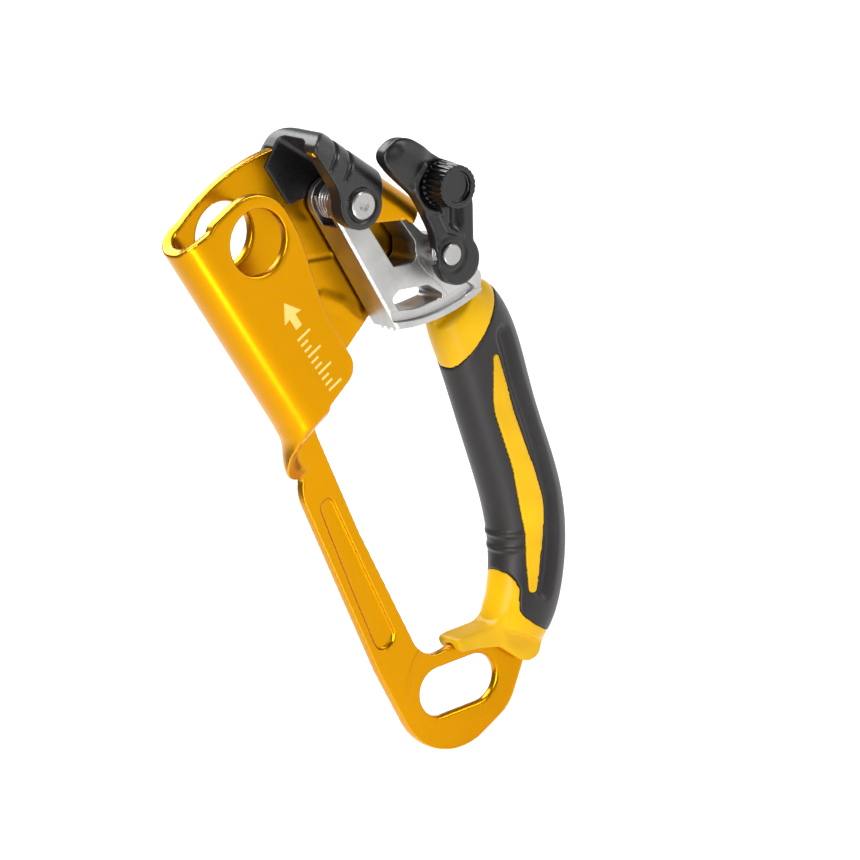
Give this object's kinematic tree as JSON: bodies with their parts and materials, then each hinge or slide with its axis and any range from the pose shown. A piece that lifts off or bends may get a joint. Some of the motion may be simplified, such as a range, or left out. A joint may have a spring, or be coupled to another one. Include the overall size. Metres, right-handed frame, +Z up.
{
  "type": "rope ascender",
  "caption": "Handled rope ascender with a folded frame, a sprung toothed cam held open, a cam catch and a soft grip; it slides up a rope and locks under load.",
  "frame": {"origin": "on the axis of the upper attachment hole, midway between the rope channel's two walls", "axes": "+X from the rope channel to the hand grip, +Y to the back plate, +Z up along the rope channel"},
  "size_m": [0.0991, 0.0441, 0.1963],
  "materials": {
    "anodised_frame": "satin gold anodised",
    "cover_plastic": "satin black",
    "steel": "satin",
    "cam_steel": "satin plated",
    "spring_steel": "plain",
    "bearing_plastic": "satin",
    "catch_plastic": "satin black",
    "pad_plastic": "gloss black",
    "grip_yellow": "satin yellow",
    "grip_rubber": "soft dark grey"
  },
  "bodies": {
    "frame_body": {"frame": "anodised_frame", "head_cover": "cover_plastic", "cam_axle": "steel", "axle_bush": "bearing_plastic", "axle_washer": "steel", "cam_washer_front": "bearing_plastic", "cam_washer_rear": "bearing_plastic", "cam_spring": "spring_steel", "grip_core": "grip_yellow", "grip_rubber": "grip_rubber"},
    "cam_body": {"cam": "cam_steel", "catch_pivot": "steel", "catch_spacer": "steel", "catch_spring": "spring_steel"},
    "catch_body": {"catch": "catch_plastic", "catch_pad": "pad_plastic"}
  },
  "joints": [
    {"name": "cam_pivot", "type": "hinge", "parent": "frame_body", "child": "cam_body", "pos_m": [0.0325, 0, -0.0135], "axis": [0, 1, 0], "range_deg": [0, 66], "stiffness_Nm_per_rad": 0.05, "springref_deg": 68.75, "deforming": ["cam_spring"]},
    {"name": "catch_pivot", "type": "hinge", "parent": "cam_body", "child": "catch_body", "pos_m": [0.0468, -0.013, -0.0436], "axis": [0, 1, 0], "range_deg": [0, 25], "stiffness_Nm_per_rad": 0.1, "springref_deg": -20.05, "deforming": ["catch_spring"]}
  ]
}
